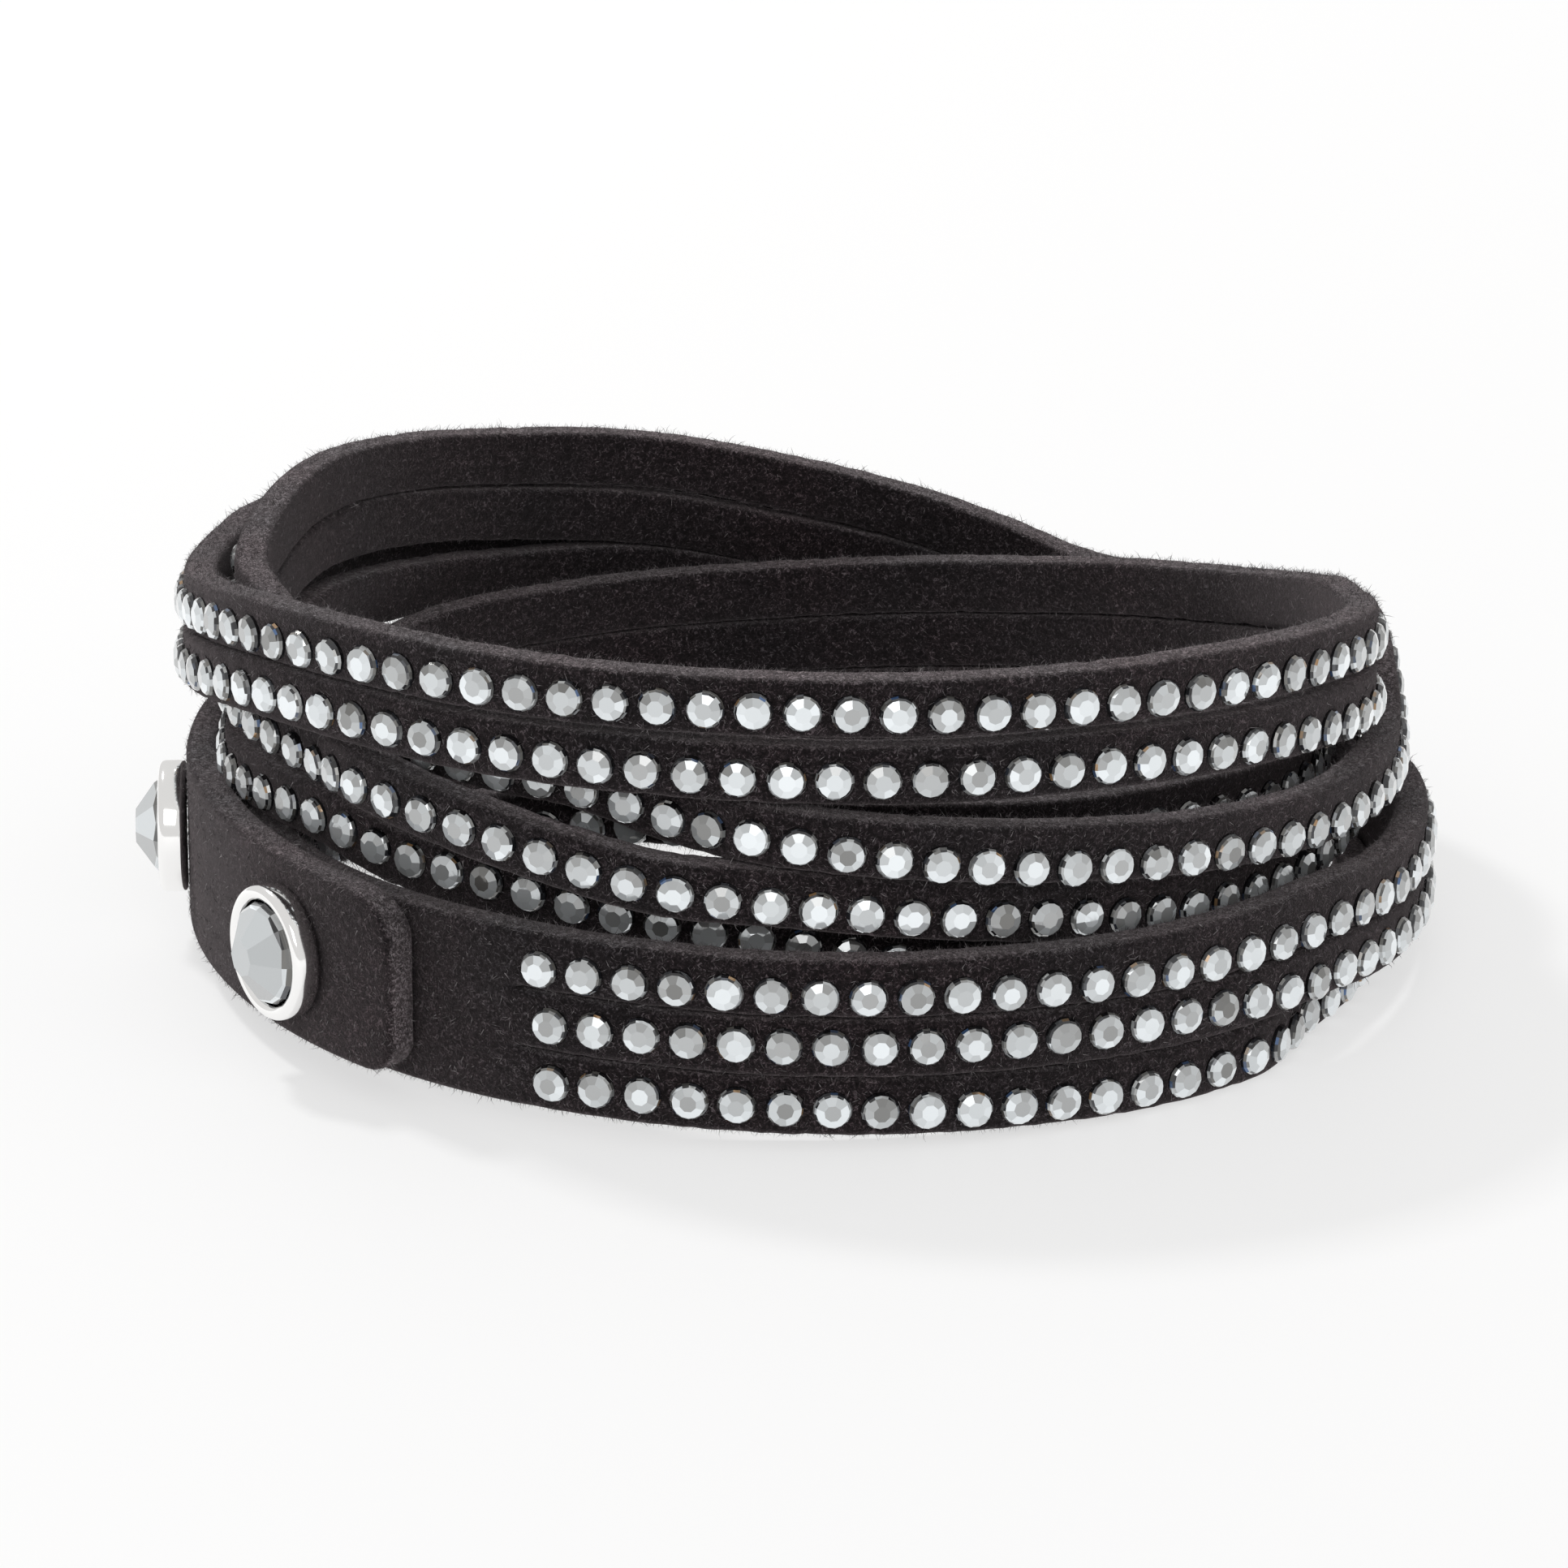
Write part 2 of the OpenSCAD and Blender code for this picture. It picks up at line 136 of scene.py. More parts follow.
# Columns: the angle round the wrist, then for the upper, middle and lower strip the height of
# its middle line and how far that lies outside the oval, in mm. The angle goes on past 360.
STATIONS = np.array([
    [-195,  8.5, -2.6,  5.3, -2.6,  2.1, -2.6],
    [-165,  8.5, -2.4,  5.3, -2.4,  2.1, -2.4],
    [-140,  8.9, -0.6,  5.7, -0.6,  2.5, -0.6],
    [-116,  9.2,  1.0,  6.0,  1.0,  2.8,  1.0],
    [ -90,  8.7,  1.3,  5.5,  1.3,  2.3,  1.1],
    [ -66,  8.3,  1.4,  5.1,  1.4,  1.9,  1.2],
    [ -58,  8.1,  1.4,  4.9,  1.4,  1.7,  1.2],
    [ -48,  8.0,  1.5,  4.8,  1.5,  1.6,  1.2],
    [ -42,  8.0,  1.6,  4.8,  1.6,  1.6,  1.2],
    [ -36,  8.0,  1.7,  4.8,  1.7,  1.6,  0.2],
    [ -32,  7.9,  1.8,  4.7,  1.8,  1.6, -0.4],
    [ -25,  7.4,  1.9,  4.2,  1.9,  1.6, -0.4],
    [ -15,  7.0,  2.0,  3.8,  2.0,  1.6, -0.4],
    [   5,  6.6,  2.0,  3.4,  2.0,  1.6, -0.4],
    [  20,  6.1,  1.6,  2.9,  1.6,  1.6, -0.4],
    [  32,  6.2,  1.2,  3.0,  1.2,  1.6, -0.8],
    [  40,  7.6,  1.1,  4.4,  1.1,  1.6, -1.0],
    [  45,  8.7,  1.0,  5.5,  1.0,  1.9, -0.4],
    [  50,  9.6,  0.9,  6.4,  0.9,  3.0,  0.6],
    [  60, 11.4,  0.9,  8.2,  0.9,  5.0,  0.9],
    [  75, 13.6,  0.8, 10.4,  0.8,  7.2,  0.8],
    [  90, 15.5,  0.4, 12.1,  0.4,  8.9,  0.4],
    [ 105, 17.2,  0.2, 13.8,  0.2, 10.6,  0.2],
    [ 120, 18.3,  0.0, 15.0,  0.0, 11.2,  0.0],
    [ 135, 19.5, -0.8, 16.3, -0.8, 12.1, -0.8],
    [ 150, 20.3, -2.0, 17.1, -1.8, 12.9, -1.9],
    [ 165, 20.0, -2.9, 16.8, -2.8, 12.7, -2.9],
    [ 180, 19.2, -3.2, 16.0, -3.0, 12.1, -2.9],
    [ 186, 19.1, -3.8, 15.8, -2.5, 11.9, -2.6],
    [ 192, 18.8, -4.3, 15.8, -2.3, 11.8, -2.2],
    [ 205, 18.3, -4.4, 15.9, -2.4, 12.3, -2.1],
    [ 215, 18.1, -4.3, 15.8, -2.3, 12.3, -2.4],
    [ 225, 17.9, -3.4, 15.8, -1.0, 11.5, -2.6],
    [ 240, 17.7, -2.9, 14.8, -0.5, 11.1, -2.6],
    [ 248, 17.6, -2.7, 14.2, -0.2, 10.6, -2.7],
    [ 258, 16.5, -2.3, 13.3,  0.0, 10.1, -2.7],
    [ 270, 16.1,  0.0, 12.9,  0.0,  9.5, -2.7],
    [ 300, 14.1,  0.2, 10.6, -0.9,  7.2, -2.8],
    [ 315, 13.1,  0.3,  9.7, -1.4,  6.2, -2.8],
    [ 330, 12.2,  0.4,  9.3, -1.5,  5.2, -2.8],
    [ 345, 11.8,  0.4,  9.3, -1.5,  3.7, -2.7],
    [ 352, 11.4,  0.4,  9.2, -1.6,  3.0, -2.7],
    [ 358, 11.2,  0.5,  9.2, -1.6,  2.4, -2.6],
    [ 363, 11.7,  0.7,  9.2, -1.5,  2.0, -2.5],
    [ 368, 12.4,  1.0,  9.3, -1.2,  1.8, -2.5],
    [ 373, 13.0,  1.5,  9.5,  0.3,  1.7, -2.5],
    [ 378, 13.1,  2.2,  9.8,  1.5,  1.6, -2.5],
    [ 386, 13.0,  3.0,  9.8,  2.6,  1.6, -2.6],
    [ 392, 12.4,  3.5,  9.2,  3.4,  1.6, -2.7],
    [ 400, 11.3,  3.6,  8.1,  3.5,  1.6, -2.9],
    [ 412, 10.0,  3.3,  6.8,  3.3,  1.6, -3.2],
    [ 425, 10.8,  3.2,  7.6,  3.2,  1.6, -4.1],
    [ 450, 13.1,  3.0,  9.9,  3.0,  1.6, -4.3],
    [ 480, 15.9,  2.6, 12.7,  2.6,  1.6, -5.1],
    [ 495, 16.6,  2.2, 13.4,  2.2,  1.6, -5.2],
    [ 510, 17.4,  1.4, 14.2,  1.4,  1.8, -5.2],
    [ 525, 17.9,  0.1, 14.7,  0.1,  3.0, -5.2],
    [ 540, 18.9, -0.5, 15.7, -0.4,  5.2, -5.3],
    [ 555, 20.6, -0.6, 17.4, -0.4,  7.6, -5.3],
    [ 570, 22.1, -0.5, 18.9, -0.4, 10.0, -5.2],
    [ 585, 22.8, -0.4, 19.5, -0.4, 12.3, -5.1],
    [ 600, 23.0, -0.3, 19.6, -0.3, 14.2, -4.9],
    [ 615, 23.0, -0.3, 19.6, -0.3, 15.4, -4.6],
    [ 630, 22.9, -0.3, 19.4, -0.3, 15.6, -3.0],
    [ 645, 22.6, -0.3, 19.1, -0.3, 15.2, -2.8],
    [ 660, 22.2, -0.3, 18.8, -0.3, 14.5, -2.9],
    [ 675, 21.6, -0.3, 18.1, -0.3, 13.8, -3.3],
    [ 690, 20.6, -0.3, 17.1, -0.3, 12.9, -3.4],
    [ 705, 19.2, -0.5, 15.8, -0.5, 12.2, -3.5],
    [ 714, 18.2, -1.0, 14.9, -1.0, 11.9, -3.5],
    [ 720, 17.5, -1.4, 14.2, -1.4, 11.8, -3.5],
    [ 728, 16.8, -1.6, 13.6, -1.6, 11.4, -3.6],
    [ 740, 15.1, -1.6, 11.9, -1.6, 10.0, -3.6],
    [ 750, 13.9, -1.6, 10.7, -1.6,  8.0, -3.6],
    [ 757, 13.2, -1.8, 10.0, -1.8,  6.6, -3.6],
    [ 768, 12.3, -2.0,  9.1, -2.0,  5.9, -2.1],
    [ 784, 11.1, -2.1,  7.9, -2.1,  4.7, -2.1],
    [ 810,  9.9, -2.2,  6.7, -2.2,  3.5, -2.2],
    [ 830,  9.7, -2.6,  6.5, -2.6,  3.3, -2.6],
    [ 840,  9.7, -2.9,  6.5, -2.9,  3.3, -2.9],
    [ 850,  9.8, -3.1,  6.6, -3.1,  3.4, -3.1],
    [ 855,  9.7, -3.1,  6.5, -3.1,  3.3, -3.1],
    [ 862,  9.5, -3.3,  6.3, -3.3,  3.1, -3.3],
    [ 868,  9.5, -2.7,  6.3, -2.7,  3.1, -2.7],
    [ 874,  9.5, -1.7,  6.3, -1.7,  3.1, -1.7],
    [ 880,  9.5, -1.0,  6.3, -1.0,  3.1, -1.0],
    [ 885,  9.5, -0.6,  6.3, -0.6,  3.1, -0.6],
    [ 900,  9.5, -0.5,  6.3, -0.5,  3.1, -0.5],
    [ 920,  9.6,  0.0,  6.4,  0.0,  3.2,  0.0],
    [ 935,  9.8,  1.0,  6.6,  1.0,  3.4,  1.0],
    [ 956,  9.9,  2.8,  6.7,  2.8,  3.5,  2.8],
])


def smooth(column, angle):
    """A column of the table at an angle, as a smooth curve through the rows."""
    at, value = STATIONS[:, 0], STATIONS[:, column]
    slope = np.empty_like(value)
    slope[1:-1] = (value[2:] - value[:-2]) / (at[2:] - at[:-2])
    slope[0] = (value[1] - value[0]) / (at[1] - at[0])
    slope[-1] = (value[-1] - value[-2]) / (at[-1] - at[-2])
    i = np.clip(np.searchsorted(at, angle, side="right") - 1, 0, len(at) - 2)
    span = at[i + 1] - at[i]
    u = (angle - at[i]) / span
    return ((2 * u**3 - 3 * u**2 + 1) * value[i] + (u**3 - 2 * u**2 + u) * span * slope[i]
            + (3 * u**2 - 2 * u**3) * value[i + 1] + (u**3 - u**2) * span * slope[i + 1])


def strip_middle(k, angle):
    """Middle line of strip k in mm: 0 is the upper strip, 1 the middle and 2 the lower one."""
    turn = np.radians(angle - oval_turn)
    oval = 1 / np.sqrt((np.cos(turn) / oval_half_l) ** 2 + (np.sin(turn) / oval_half_w) ** 2)
    r = oval + smooth(2 + 2 * k, angle)
    a = np.radians(angle)
    height = np.maximum(smooth(1 + 2 * k, angle) - slit_w / 2, strip_w / 2)
    middle = np.stack([r * np.cos(a), r * np.sin(a), height], axis=-1)
    return middle + np.array(middle_of_oval) / MM


def strip_frame(k, angle):
    """Middle line, outward direction and direction to the upper edge of strip k."""
    way = strip_middle(k, angle + 0.5) - strip_middle(k, angle - 0.5)
    level = np.hypot(way[..., 0], way[..., 1])
    outward = np.stack([way[..., 1] / level, -way[..., 0] / level, 0 * level], axis=-1)
    across = np.cross(outward, way)
    across /= np.linalg.norm(across, axis=-1, keepdims=True)
    return strip_middle(k, angle), outward, across


def strip_outline(uncut_above, uncut_below):
    """The (across, outward) places of a strip's points, from its upper outer edge by its outer
    face to its lower edge and back. A side that isn't cut keeps its points on the flat faces,
    where the next strip follows."""
    half_w, half_t = strip_w / 2, strap_t / 2
    places = []
    for upper, outer in ((1, 1), (-1, 1), (-1, -1), (1, -1)):
        uncut = uncut_above if upper > 0 else uncut_below
        corner = []
        for i in range(arc_steps + 1):
            turn = math.radians(90 * i / arc_steps)
            if uncut:
                corner.append((upper * (half_w - edge_r * i / arc_steps), outer * half_t))
            else:
                corner.append((upper * (half_w - edge_r + edge_r * math.cos(turn)),
                               outer * (half_t - edge_r + edge_r * math.sin(turn))))
        places += corner if upper == outer else corner[::-1]
    return np.array(places)


def cut_edge(uncut, at_end):
    """For each point of a cross-section, how near it lies to a cut edge, from 0 to 1."""
    near = np.zeros((strips, strip_points))
    fade = np.array([1.0, 0.4, 0.05, 0.0])
    for k in range(strips):
        if not uncut or k == 0:
            near[k, 0:4], near[k, 12:16] = fade, fade[::-1]
        if not uncut or k == 2:
            near[k, 4:8], near[k, 8:12] = fade[::-1], fade
    return np.maximum(near, at_end)


# How far each cut edge wanders, one draw for each degree and more degrees than the strap has
wander_degrees = 1300
edge_wander = np.random.default_rng(11).normal(0.0, edge_wander_mm, (wander_degrees, strips, 2))


def strap_ring(angle, uncut, upper_in=0.0, lower_in=0.0, thinner=0.0):
    """The points of a cross-section. In an uncut stretch neighbouring strips share points."""
    ring = np.empty((strips, strip_points, 3))
    wander = edge_wander[int(round(angle - inner_end_a))]
    for k in range(strips):
        middle, outward, across = strip_frame(k, np.array(float(angle)))
        outline = strip_outline(uncut and k > 0, uncut and k < 2)
        u, v = outline[:, 0], outline[:, 1]
        share = (2 - k + (u / strip_w + 0.5)) / strips
        u = u * across[2] + lower_in * (1 - share) - upper_in * share
        if not uncut:
            u = u - np.where(u > 0, np.abs(wander[k, 0]), -np.abs(wander[k, 1]))
        v = v * (1 - thinner / (strap_t / 2))
        ring[k] = middle + np.outer(v, outward) + np.outer(u, across)
    if uncut:
        for k in range(2):
            for below, above in ((7, 0), (8, 15)):
                ring[k, below] = ring[k + 1, above] = (ring[k, below] + ring[k + 1, above]) / 2
    return ring


def end_rings(end_a, side):
    """Rings from an end inwards to 2.8 mm behind it. Its corners are round, and so is its edge:
    each ring holds its angle, how far it is cut in above and below, and how much thinner it is."""
    rings = []
    mm_per_degree = math.pi * oval_half_l / 180
    for back in (0, 0.05, 0.16, 0.34, 0.6, 0.95, 1.4, 1.9, 2.4, 2.8):
        cut = []
        for corner_r in (upper_corner_r, lower_corner_r):
            deep = max(corner_r - back, 0)
            cut.append(corner_r - math.sqrt(corner_r**2 - deep**2))
        edge = max(edge_r - back, 0)
        thinner = edge_r - math.sqrt(edge_r**2 - edge**2)
        rings.append((end_a - side * back / mm_per_degree, cut[0], cut[1], thinner))
    return rings


ring_step = 1.0
near_end = 6
inner_nap_share = 0.06
slit_fuzz_share = 0.3
weld_mm = 0.0005
sections, near_cut = [], []
for a, upper_in, lower_in, thinner in end_rings(inner_end_a, -1):
    sections.append((strap_ring(a, True, upper_in, lower_in, thinner), True))
    near_cut.append(cut_edge(True, thinner / edge_r))
for a in np.arange(inner_end_a + near_end, outer_end_a - near_end + 0.01, ring_step):
    uncut = a <= slit_begin_a or a >= slit_finish_a
    sections.append((strap_ring(a, uncut), uncut))
    near_cut.append(cut_edge(uncut, 0))
for a, upper_in, lower_in, thinner in end_rings(outer_end_a, 1)[::-1]:
    sections.append((strap_ring(a, True, upper_in, lower_in, thinner), True))
    near_cut.append(cut_edge(True, thinner / edge_r))

# A strip's sides 3 and 11 are its outer and inner flat faces, 7 and 15 its lower and upper
# edges. In an uncut stretch the edges between neighbouring strips get no faces.
points = np.concatenate([ring.reshape(-1, 3) for ring, uncut in sections]) * MM
faces, on_face, on_edge = [], [], []
for i in range(len(sections) - 1):
    both_uncut = sections[i][1] and sections[i + 1][1]
    for k in range(strips):
        for j in range(strip_points):
            inside = (j == 7 and k < 2) or (j == 15 and k > 0)
            if both_uncut and inside:
                continue
            here = ring_points * i + strip_points * k
            after = (j + 1) % strip_points
            faces.append((here + j, here + after,
                          here + ring_points + after, here + ring_points + j))
            on_face.append({3: 1.0, 11: inner_nap_share}.get(j, 0.0))
            rim = (k == 0 and (j < 3 or j > 11)) or (k == 2 and 3 < j < 11)
            cut = max(near_cut[i][k, j], near_cut[i][k, after]) > 0.1 and j not in (3, 11)
            on_edge.append((1.0 if rim else slit_fuzz_share) if cut else 0.0)
for first, flip in ((0, True), (ring_points * (len(sections) - 1), False)):
    for k in range(strips):
        for j in range(7):
            lid = [first + strip_points * k + n for n in (j, j + 1, 14 - j, 15 - j)]
            faces.append(lid[::-1] if flip else lid)
            on_face.append(0.0)
            on_edge.append(1.0)

strap_mesh = bpy.data.meshes.new("suede_strap")
strap_mesh.from_pydata([tuple(p) for p in points], [], faces)
for name, domain, values in (("on_face", "FACE", on_face), ("on_edge", "FACE", on_edge),
                             ("cut_edge", "POINT", np.concatenate(near_cut).ravel())):
    attribute = strap_mesh.attributes.new(name, "FLOAT", domain)
    attribute.data.foreach_set("value", np.array(values, dtype=np.float32))
tidy_up = bmesh.new()
tidy_up.from_mesh(strap_mesh)
bmesh.ops.remove_doubles(tidy_up, verts=tidy_up.verts, dist=weld_mm * MM)
bmesh.ops.recalc_face_normals(tidy_up, faces=tidy_up.faces)
tidy_up.to_mesh(strap_mesh)
tidy_up.free()
strap_mesh.shade_smooth()
strap = bpy.data.objects.new("suede_strap", strap_mesh)
bpy.context.collection.objects.link(strap)


def add_node(tree, kind, **inputs):
    """A node of a kind, with values for inputs named by their labels."""
    node = tree.nodes.new(kind)
    for label, value in inputs.items():
        node.inputs[label.replace("_", " ")].default_value = value
    return node


def tone_ramp(tree, stops):
    """A colour ramp from (position, colour) stops."""
    ramp = tree.nodes.new("ShaderNodeValToRGB")
    first, last = ramp.color_ramp.elements
    first.position, first.color = stops[0]
    last.position, last.color = stops[-1]
    for position, color in stops[1:-1]:
        ramp.color_ramp.elements.new(position).color = color
    return ramp


def blend_tones(tree, kind, share, tone_a, tone_b):
    """A mix of two colours; the share is a number or an output."""
    mix = tree.nodes.new("ShaderNodeMix")
    mix.data_type = "RGBA"
    mix.blend_type = kind
    if isinstance(share, float):
        mix.inputs["Factor"].default_value = share
    else:
        tree.links.new(share, mix.inputs["Factor"])
    tree.links.new(tone_a, mix.inputs["A"])
    tree.links.new(tone_b, mix.inputs["B"])
    return mix.outputs["Result"]


suede = bpy.data.materials.new("charcoal_suede")
suede.use_nodes = True
tree = suede.node_tree
shader = tree.nodes["Principled BSDF"]
shader.inputs["Roughness"].default_value = 0.95
shader.inputs["Specular IOR Level"].default_value = 0.1
shader.inputs["Sheen Weight"].default_value = 0.17
shader.inputs["Sheen Roughness"].default_value = 0.5
shader.inputs["Sheen Tint"].default_value = (0.95, 0.84, 0.86, 1)
place = tree.nodes.new("ShaderNodeTexCoord")
nap = add_node(tree, "ShaderNodeTexNoise",
               Scale=4200.0, Detail=8.0, Roughness=0.72, Distortion=1.5)
felted = add_node(tree, "ShaderNodeTexNoise",
                  Scale=1300.0, Detail=4.0, Roughness=0.6, Distortion=0.8)
patches = add_node(tree, "ShaderNodeTexNoise", Scale=110.0, Detail=3.0, Roughness=0.55)
for noise in (nap, felted, patches):
    tree.links.new(place.outputs["Object"], noise.inputs["Vector"])
nap_tone = tone_ramp(tree, [
    (0.38, (0.0018, 0.0013, 0.0015, 1)), (0.49, (0.0065, 0.005, 0.0055, 1)),
    (0.56, (0.021, 0.017, 0.0185, 1)), (0.66, (0.11, 0.1, 0.104, 1))])
felted_tone = tone_ramp(tree, [(0.28, (0.62, 0.62, 0.64, 1)), (0.72, (1.4, 1.36, 1.36, 1))])
patch_tone = tone_ramp(tree, [(0.3, (0.86, 0.9, 0.92, 1)), (0.7, (1.25, 1.1, 1.14, 1))])
# Near the cut edges the suede turns lighter: partly the paler fuzz of cut suede, partly a painted
# highlight where the edges catch the light.
fuzz_and_highlight_tone = tone_ramp(tree, [(0.38, (0.009, 0.0075, 0.008, 1)), (0.5, (0.045, 0.04, 0.041, 1)),
                             (0.62, (0.24, 0.225, 0.23, 1))])
tree.links.new(nap.outputs["Fac"], nap_tone.inputs["Fac"])
tree.links.new(nap.outputs["Fac"], fuzz_and_highlight_tone.inputs["Fac"])
tree.links.new(felted.outputs["Fac"], felted_tone.inputs["Fac"])
tree.links.new(patches.outputs["Fac"], patch_tone.inputs["Fac"])
near_edge = add_node(tree, "ShaderNodeAttribute")
near_edge.attribute_name = "cut_edge"
tone = blend_tones(tree, "MULTIPLY", 1.0, nap_tone.outputs["Color"], felted_tone.outputs["Color"])
tone = blend_tones(tree, "MIX", near_edge.outputs["Fac"], tone, fuzz_and_highlight_tone.outputs["Color"])
tone = blend_tones(tree, "MULTIPLY", 1.0, tone, patch_tone.outputs["Color"])
tree.links.new(tone, shader.inputs["Base Color"])
nap_bump = add_node(tree, "ShaderNodeBump", Strength=0.8, Distance=0.0001)
tree.links.new(nap.outputs["Fac"], nap_bump.inputs["Height"])
tree.links.new(nap_bump.outputs["Normal"], shader.inputs["Normal"])
strap_mesh.materials.append(suede)

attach(strap, "root")
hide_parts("strap")


# ---- Nap ----
# The suede's own fibres: short ones lying over its faces, denser and more upright ones along
# the cut edges, and stray long ones that stand out from the edges.
def new_recipe(name, inputs):
    """An empty Geometry Nodes tree with a geometry in and out and named inputs with values."""
    recipe = bpy.data.node_groups.new(name, "GeometryNodeTree")
    recipe.interface.new_socket("Geometry", in_out="OUTPUT", socket_type="NodeSocketGeometry")
    recipe.interface.new_socket("Geometry", in_out="INPUT", socket_type="NodeSocketGeometry")
    for label, kind in inputs:
        recipe.interface.new_socket(label, in_out="INPUT", socket_type="NodeSocket" + kind)
    return recipe, recipe.nodes.new("NodeGroupInput"), recipe.nodes.new("NodeGroupOutput")


def bake_recipe(carrier, recipe, values):
    """Runs a recipe on an object and leaves its result there as a plain mesh."""
    modifier = carrier.modifiers.new("recipe", "NODES")
    modifier.node_group = recipe
    for item in recipe.interface.items_tree:
        if item.in_out == "INPUT" and item.name in values:
            modifier[item.identifier] = values[item.name]
    evaluated = carrier.evaluated_get(bpy.context.evaluated_depsgraph_get())
    result = bpy.data.meshes.new_from_object(evaluated)
    carrier.modifiers.clear()
    carrier.data = result
    result.name = carrier.name
    return carrier


def fibre_shape(name, thick, reach):
    """A closed three-sided fibre that starts under the skin; reach holds its bends and tip."""
    points = []
    for n, (aside, up) in enumerate(reach[:-1]):
        for i in range(3):
            a = 2 * math.pi * i / 3
            r = thick / 2 * (1 - 0.35 * n)
            points.append((r * math.cos(a) + aside, r * math.sin(a), up))
    points.append((reach[-1][0], 0, reach[-1][1]))
    faces = [(2, 1, 0)]
    for n in range(len(reach) - 2):
        for i in range(3):
            j = (i + 1) % 3
            faces.append((3 * n + i, 3 * n + j, 3 * n + 3 + j, 3 * n + 3 + i))
    last = 3 * (len(reach) - 2)
    faces += [(last + i, last + (i + 1) % 3, last + 3) for i in range(3)]
    mesh = bpy.data.meshes.new(name)
    mesh.from_pydata([Vector(p) * MM for p in points], [], faces)
    mesh.update()
    fibre = bpy.data.objects.new(name, mesh)
    bpy.context.collection.objects.link(fibre)
    return fibre


recipe, given, result = new_recipe("grow_fibres", [
    ("Fibre", "Object"), ("Material", "Material"), ("Where", "String"), ("Density", "Float"),
    ("Least Lean", "Float"), ("Most Lean", "Float"), ("Shortest", "Float"), ("Longest", "Float"),
    ("Floor", "Float"), ("Seed", "Int")])
link = recipe.links.new
where = recipe.nodes.new("GeometryNodeInputNamedAttribute")
link(given.outputs["Where"], where.inputs["Name"])
density = recipe.nodes.new("ShaderNodeMath")
density.operation = "MULTIPLY"
link(where.outputs["Attribute"], density.inputs[0])
link(given.outputs["Density"], density.inputs[1])
roots = recipe.nodes.new("GeometryNodeDistributePointsOnFaces")
link(given.outputs["Geometry"], roots.inputs["Mesh"])
link(density.outputs[0], roots.inputs["Density"])
link(given.outputs["Seed"], roots.inputs["Seed"])

# Roots that would lie on the table are left out
root_place = recipe.nodes.new("GeometryNodeInputPosition")
root_height = recipe.nodes.new("ShaderNodeSeparateXYZ")
link(root_place.outputs["Position"], root_height.inputs["Vector"])
too_low = recipe.nodes.new("FunctionNodeCompare")
too_low.operation = "LESS_THAN"
link(root_height.outputs["Z"], too_low.inputs["A"])
link(given.outputs["Floor"], too_low.inputs["B"])
standing = recipe.nodes.new("GeometryNodeDeleteGeometry")
link(roots.outputs["Points"], standing.inputs["Geometry"])
link(too_low.outputs["Result"], standing.inputs["Selection"])

# Each fibre leans over to a side and has a length of its own
fibre_info = recipe.nodes.new("GeometryNodeObjectInfo")
link(given.outputs["Fibre"], fibre_info.inputs["Object"])
grown = recipe.nodes.new("GeometryNodeInstanceOnPoints")
link(standing.outputs["Geometry"], grown.inputs["Points"])
link(fibre_info.outputs["Geometry"], grown.inputs["Instance"])
link(roots.outputs["Rotation"], grown.inputs["Rotation"])
least = recipe.nodes.new("ShaderNodeCombineXYZ")
most = recipe.nodes.new("ShaderNodeCombineXYZ")
link(given.outputs["Least Lean"], least.inputs["X"])
link(given.outputs["Most Lean"], most.inputs["X"])
most.inputs["Z"].default_value = 2 * math.pi
lean = recipe.nodes.new("FunctionNodeRandomValue")
lean.data_type = "FLOAT_VECTOR"
link(least.outputs["Vector"], lean.inputs[0])
link(most.outputs["Vector"], lean.inputs[1])
link(given.outputs["Seed"], lean.inputs["Seed"])
leaning = recipe.nodes.new("GeometryNodeRotateInstances")
link(grown.outputs["Instances"], leaning.inputs["Instances"])
link(lean.outputs[0], leaning.inputs["Rotation"])
size = recipe.nodes.new("FunctionNodeRandomValue")
link(given.outputs["Shortest"], size.inputs[2])
link(given.outputs["Longest"], size.inputs[3])
link(given.outputs["Seed"], size.inputs["Seed"])
sized = recipe.nodes.new("GeometryNodeScaleInstances")
link(leaning.outputs["Instances"], sized.inputs["Instances"])
link(size.outputs[1], sized.inputs["Scale"])
real = recipe.nodes.new("GeometryNodeRealizeInstances")
link(sized.outputs["Instances"], real.inputs["Geometry"])

# A tip that would go through the table bends along it
end_place = recipe.nodes.new("GeometryNodeInputPosition")
split = recipe.nodes.new("ShaderNodeSeparateXYZ")
join = recipe.nodes.new("ShaderNodeCombineXYZ")
kept_up = recipe.nodes.new("ShaderNodeMath")
kept_up.operation = "MAXIMUM"
kept_up.inputs[1].default_value = 0.02 * MM
link(end_place.outputs["Position"], split.inputs["Vector"])
link(split.outputs["X"], join.inputs["X"])
link(split.outputs["Y"], join.inputs["Y"])
link(split.outputs["Z"], kept_up.inputs[0])
link(kept_up.outputs[0], join.inputs["Z"])
bent = recipe.nodes.new("GeometryNodeSetPosition")
link(real.outputs["Geometry"], bent.inputs["Geometry"])
link(join.outputs["Vector"], bent.inputs["Position"])
painted = recipe.nodes.new("GeometryNodeSetMaterial")
link(bent.outputs["Geometry"], painted.inputs["Geometry"])
link(given.outputs["Material"], painted.inputs["Material"])
link(painted.outputs["Geometry"], result.inputs["Geometry"])

